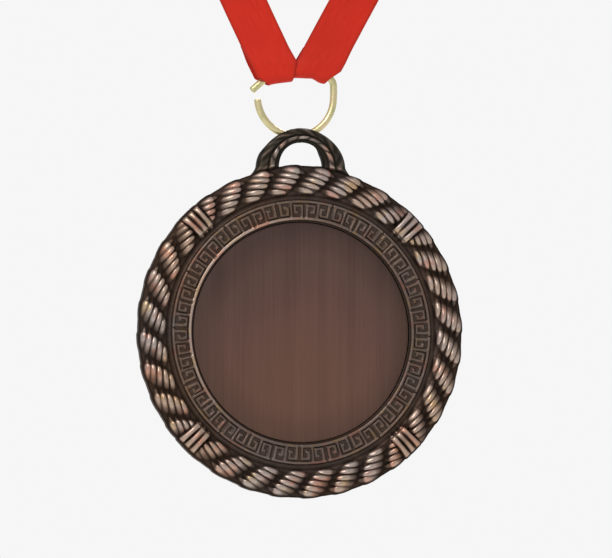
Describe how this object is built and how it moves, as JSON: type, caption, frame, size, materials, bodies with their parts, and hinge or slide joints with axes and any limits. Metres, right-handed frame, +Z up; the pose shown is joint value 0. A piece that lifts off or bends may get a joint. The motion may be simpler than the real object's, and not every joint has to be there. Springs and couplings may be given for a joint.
{
  "type": "medal",
  "caption": "Round award medal with a rope border, key-pattern band and lug, hanging by a jump ring from a tied V neck ribbon.",
  "frame": {"origin": "underside of the tie round the ribbon's hank, where a peg through the V carries the medal", "axes": "+Z up, the medal's face towards -Y, and the ribbon, the ring and the eyelet in the plane Y = 0"},
  "size_m": [0.075, 0.0096, 0.135],
  "materials": {
    "antique_bronze": "antique bronze plating, dark in the hollows and rubbed back on the high spots",
    "brushed_bronze": "dark bronze, brushed in straight upright lines",
    "adhesive_film": "thin double-sided film",
    "gold_wire": "bright gold plating",
    "red_satin": "woven satin with firm edges",
    "red_thread": "polyester sewing thread",
    "elastic": "matt elastic band"
  },
  "bodies": {
    "ribbon": {"ribbon_hank": "red_satin", "hank_tie": "elastic", "ribbon_leg_left": "red_satin", "ribbon_leg_right": "red_satin", "ribbon_tip": "red_satin", "seam_thread_left": "red_thread", "seam_thread_right": "red_thread"},
    "ring": {"jump_ring": "gold_wire"},
    "medal": {"medal_body": "antique_bronze", "centre_disc": "brushed_bronze", "disc_adhesive": "adhesive_film"}
  },
  "joints": [
    {"name": "ring_swing", "type": "hinge", "parent": "ribbon", "child": "ring", "pos_m": [-0.0011, 0, -0.02555], "axis": [1, 0, 0], "range_deg": [-15, 15]},
    {"name": "medal_swing", "type": "hinge", "parent": "ring", "child": "medal", "pos_m": [-0.0011, 0, -0.04], "axis": [1, 0, 0], "range_deg": [-12, 60]}
  ]
}
